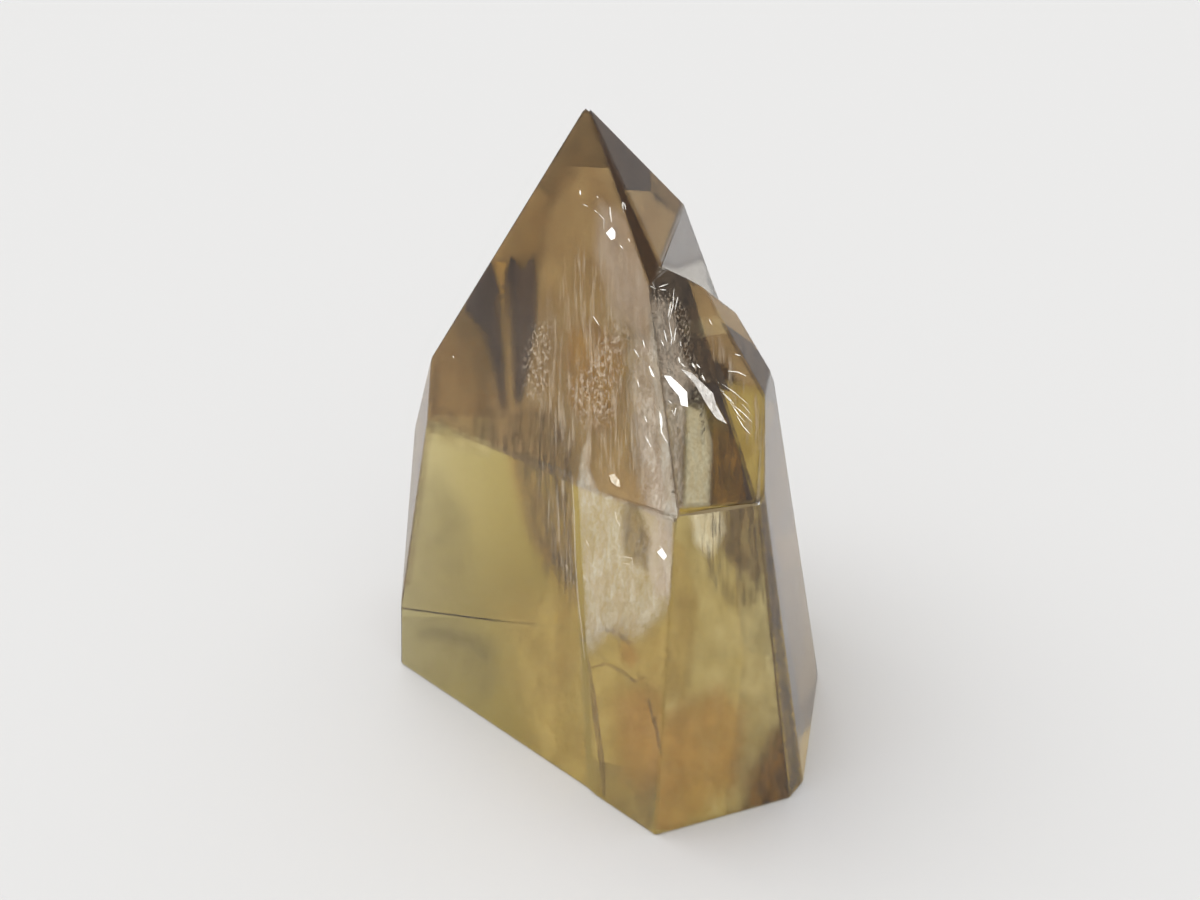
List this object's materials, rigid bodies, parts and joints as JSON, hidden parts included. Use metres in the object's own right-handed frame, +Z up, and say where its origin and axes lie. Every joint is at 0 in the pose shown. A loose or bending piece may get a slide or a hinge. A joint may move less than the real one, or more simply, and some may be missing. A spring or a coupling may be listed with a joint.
{
  "type": "citrine crystal point",
  "caption": "Stubby six-sided smoky citrine quartz point with a smaller crystal grown onto its side, ground flat underneath to stand upright.",
  "frame": {"origin": "centre of the bounding box at the flat underside", "axes": "+Z up along the crystal to its tip; -Y towards the broad front edge between the two largest front faces; +X towards the smaller crystal"},
  "size_m": [0.045, 0.042, 0.0643],
  "materials": {
    "smoky_citrine_quartz": "polished flat faces, clear with brown and milky inclusions"
  },
  "bodies": {
    "root": {"crystal_point": "smoky_citrine_quartz"}
  },
  "joints": []
}
